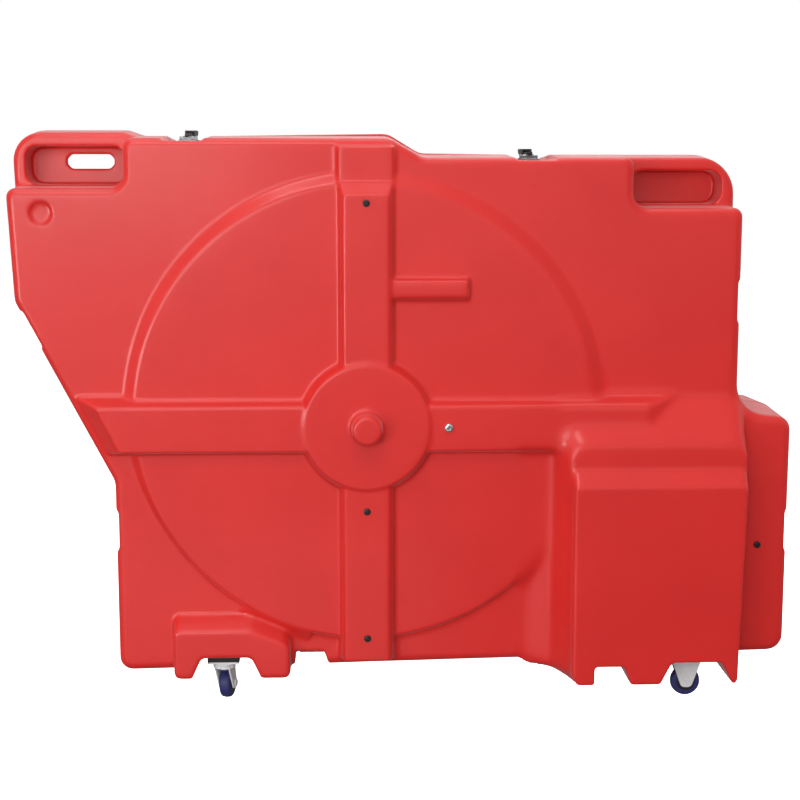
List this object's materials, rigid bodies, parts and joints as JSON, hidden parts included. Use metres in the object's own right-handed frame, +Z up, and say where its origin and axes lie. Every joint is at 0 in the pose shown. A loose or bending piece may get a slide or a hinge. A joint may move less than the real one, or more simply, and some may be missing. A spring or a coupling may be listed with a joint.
{
  "type": "bike travel case",
  "caption": "Moulded red clamshell case for a bicycle, with bottom hinges, draw latches round the rim, corner handles and small casters to roll it on.",
  "frame": {"origin": "on the floor below the middle of the case, in the parting plane", "axes": "+Z up, +X along the length towards the bulge end, -Y towards the front half"},
  "size_m": [1.2281, 0.37, 0.903],
  "materials": {
    "shell_plastic": "satin moulded polyethylene, light orange peel",
    "latch_black": "black powder coat",
    "latch_steel": "zinc-plated pressed steel",
    "hinge_steel": "zinc-plated pressed steel",
    "tyre_rubber": "moulded blue rubber",
    "hub_plastic": "black nylon",
    "block_plastic": "black plastic block",
    "caster_steel": "bright zinc-plated pressed steel",
    "strut_aluminium": "anodised pole",
    "screw_steel": "bright steel",
    "strap_webbing": "black woven webbing",
    "bolt_black": "black oxide"
  },
  "bodies": {
    "rear_half": {"caster_blocks_rear": "block_plastic", "caster_rear_left_plate": "caster_steel", "caster_rear_right_axle": "caster_steel", "caster_rear_right_bracket": "caster_steel", "hinge_left_pin": "hinge_steel", "hinge_left_rear_leaf": "hinge_steel", "hinge_right_pin": "hinge_steel", "hinge_right_rear_leaf": "hinge_steel", "latch_left_lower_base": "latch_steel", "latch_left_upper_base": "latch_steel", "latch_right_lower_base": "latch_steel", "latch_right_upper_base": "latch_steel", "latch_top_left_base": "latch_steel", "latch_top_right_base": "latch_steel", "rear_shell": "shell_plastic", "strap_bolts_rear": "bolt_black", "wheel_straps_rear": "strap_webbing"},
    "front_half": {"caster_blocks_front": "block_plastic", "caster_front_left_plate": "caster_steel", "caster_front_right_axle": "caster_steel", "caster_front_right_bracket": "caster_steel", "front_shell": "shell_plastic", "hinge_left_front_leaf": "hinge_steel", "hinge_right_front_leaf": "hinge_steel", "latch_left_lower_keeper": "latch_steel", "latch_left_upper_keeper": "latch_steel", "latch_right_lower_keeper": "latch_steel", "latch_right_upper_keeper": "latch_steel", "latch_top_left_keeper": "latch_steel", "latch_top_right_keeper": "latch_steel", "strap_bolts_front": "bolt_black", "strut": "strut_aluminium", "strut_screw": "screw_steel", "wheel_straps_front": "strap_webbing"},
    "latch_top_left_lever": {"latch_top_left_lever": "latch_black"},
    "latch_top_left_hook": {"latch_top_left_hook": "latch_black"},
    "latch_top_right_lever": {"latch_top_right_lever": "latch_black"},
    "latch_top_right_hook": {"latch_top_right_hook": "latch_black"},
    "latch_left_upper_lever": {"latch_left_upper_lever": "latch_black"},
    "latch_left_upper_hook": {"latch_left_upper_hook": "latch_black"},
    "latch_left_lower_lever": {"latch_left_lower_lever": "latch_black"},
    "latch_left_lower_hook": {"latch_left_lower_hook": "latch_black"},
    "latch_right_upper_lever": {"latch_right_upper_lever": "latch_black"},
    "latch_right_upper_hook": {"latch_right_upper_hook": "latch_black"},
    "latch_right_lower_lever": {"latch_right_lower_lever": "latch_black"},
    "latch_right_lower_hook": {"latch_right_lower_hook": "latch_black"},
    "caster_front_left_swivel": {"caster_front_left_fork": "caster_steel", "caster_front_left_axle": "caster_steel"},
    "caster_front_left_wheel": {"caster_front_left_hub": "hub_plastic", "caster_front_left_tyre": "tyre_rubber"},
    "caster_front_right_wheel": {"caster_front_right_hub": "hub_plastic", "caster_front_right_tyre": "tyre_rubber"},
    "caster_rear_left_swivel": {"caster_rear_left_fork": "caster_steel", "caster_rear_left_axle": "caster_steel"},
    "caster_rear_left_wheel": {"caster_rear_left_hub": "hub_plastic", "caster_rear_left_tyre": "tyre_rubber"},
    "caster_rear_right_wheel": {"caster_rear_right_hub": "hub_plastic", "caster_rear_right_tyre": "tyre_rubber"}
  },
  "joints": [
    {"name": "case_hinge", "type": "hinge", "parent": "rear_half", "child": "front_half", "pos_m": [0, 0, 0.052], "axis": [1, 0, 0], "range_deg": [0, 95]},
    {"name": "latch_top_left_lever_hinge", "type": "hinge", "parent": "rear_half", "child": "latch_top_left_lever", "pos_m": [-0.338, 0.02, 0.891], "axis": [1, 0, 0], "range_deg": [0, 105]},
    {"name": "latch_top_left_hook_hinge", "type": "hinge", "parent": "latch_top_left_lever", "child": "latch_top_left_hook", "pos_m": [-0.338, 0.028, 0.896], "axis": [1, 0, 0], "range_deg": [-105, 0]},
    {"name": "latch_top_right_lever_hinge", "type": "hinge", "parent": "rear_half", "child": "latch_top_right_lever", "pos_m": [0.2, 0.02, 0.862], "axis": [1, 0, 0], "range_deg": [0, 105]},
    {"name": "latch_top_right_hook_hinge", "type": "hinge", "parent": "latch_top_right_lever", "child": "latch_top_right_hook", "pos_m": [0.2, 0.028, 0.867], "axis": [1, 0, 0], "range_deg": [-105, 0]},
    {"name": "latch_left_upper_lever_hinge", "type": "hinge", "parent": "rear_half", "child": "latch_left_upper_lever", "pos_m": [-0.57613, 0.02, 0.59825], "axis": [-0.4573, 0, 0.8893], "range_deg": [0, 105]},
    {"name": "latch_left_upper_hook_hinge", "type": "hinge", "parent": "latch_left_upper_lever", "child": "latch_left_upper_hook", "pos_m": [-0.58058, 0.028, 0.59596], "axis": [-0.4573, 0, 0.8893], "range_deg": [-105, 0]},
    {"name": "latch_left_lower_lever_hinge", "type": "hinge", "parent": "rear_half", "child": "latch_left_lower_lever", "pos_m": [-0.454, 0.02, 0.283], "axis": [0, 0, 1], "range_deg": [0, 105]},
    {"name": "latch_left_lower_hook_hinge", "type": "hinge", "parent": "latch_left_lower_lever", "child": "latch_left_lower_hook", "pos_m": [-0.459, 0.028, 0.283], "axis": [0, 0, 1], "range_deg": [-105, 0]},
    {"name": "latch_right_upper_lever_hinge", "type": "hinge", "parent": "rear_half", "child": "latch_right_upper_lever", "pos_m": [0.521, 0.02, 0.64], "axis": [0, 0, -1], "range_deg": [0, 105]},
    {"name": "latch_right_upper_hook_hinge", "type": "hinge", "parent": "latch_right_upper_lever", "child": "latch_right_upper_hook", "pos_m": [0.526, 0.028, 0.64], "axis": [0, 0, -1], "range_deg": [-105, 0]},
    {"name": "latch_right_lower_lever_hinge", "type": "hinge", "parent": "rear_half", "child": "latch_right_lower_lever", "pos_m": [0.607, 0.02, 0.276], "axis": [0, 0, -1], "range_deg": [0, 105]},
    {"name": "latch_right_lower_hook_hinge", "type": "hinge", "parent": "latch_right_lower_lever", "child": "latch_right_lower_hook", "pos_m": [0.612, 0.028, 0.276], "axis": [0, 0, -1], "range_deg": [-105, 0]},
    {"name": "caster_front_left_swivel_pivot", "type": "hinge", "parent": "front_half", "child": "caster_front_left_swivel", "pos_m": [-0.289, -0.1, 0.07], "axis": [0, 0, 1], "continuous": true},
    {"name": "caster_front_left_wheel_spin", "type": "hinge", "parent": "caster_front_left_swivel", "child": "caster_front_left_wheel", "pos_m": [-0.28518, -0.08344, 0.024], "axis": [-0.9744, 0.225, 0], "continuous": true},
    {"name": "caster_front_right_wheel_spin", "type": "hinge", "parent": "front_half", "child": "caster_front_right_wheel", "pos_m": [0.453, -0.1, 0.024], "axis": [0, 1, 0], "continuous": true},
    {"name": "caster_rear_left_swivel_pivot", "type": "hinge", "parent": "rear_half", "child": "caster_rear_left_swivel", "pos_m": [-0.289, 0.1, 0.07], "axis": [0, 0, 1], "continuous": true},
    {"name": "caster_rear_left_wheel_spin", "type": "hinge", "parent": "caster_rear_left_swivel", "child": "caster_rear_left_wheel", "pos_m": [-0.28518, 0.11656, 0.024], "axis": [-0.9744, 0.225, 0], "continuous": true},
    {"name": "caster_rear_right_wheel_spin", "type": "hinge", "parent": "rear_half", "child": "caster_rear_right_wheel", "pos_m": [0.453, 0.1, 0.024], "axis": [0, 1, 0], "continuous": true}
  ],
  "couplings": [
    {"joint": "latch_top_left_hook_hinge", "follows": "latch_top_left_lever_hinge", "ratio": -1},
    {"joint": "latch_top_right_hook_hinge", "follows": "latch_top_right_lever_hinge", "ratio": -1},
    {"joint": "latch_left_upper_hook_hinge", "follows": "latch_left_upper_lever_hinge", "ratio": -1},
    {"joint": "latch_left_lower_hook_hinge", "follows": "latch_left_lower_lever_hinge", "ratio": -1},
    {"joint": "latch_right_upper_hook_hinge", "follows": "latch_right_upper_lever_hinge", "ratio": -1},
    {"joint": "latch_right_lower_hook_hinge", "follows": "latch_right_lower_lever_hinge", "ratio": -1}
  ]
}
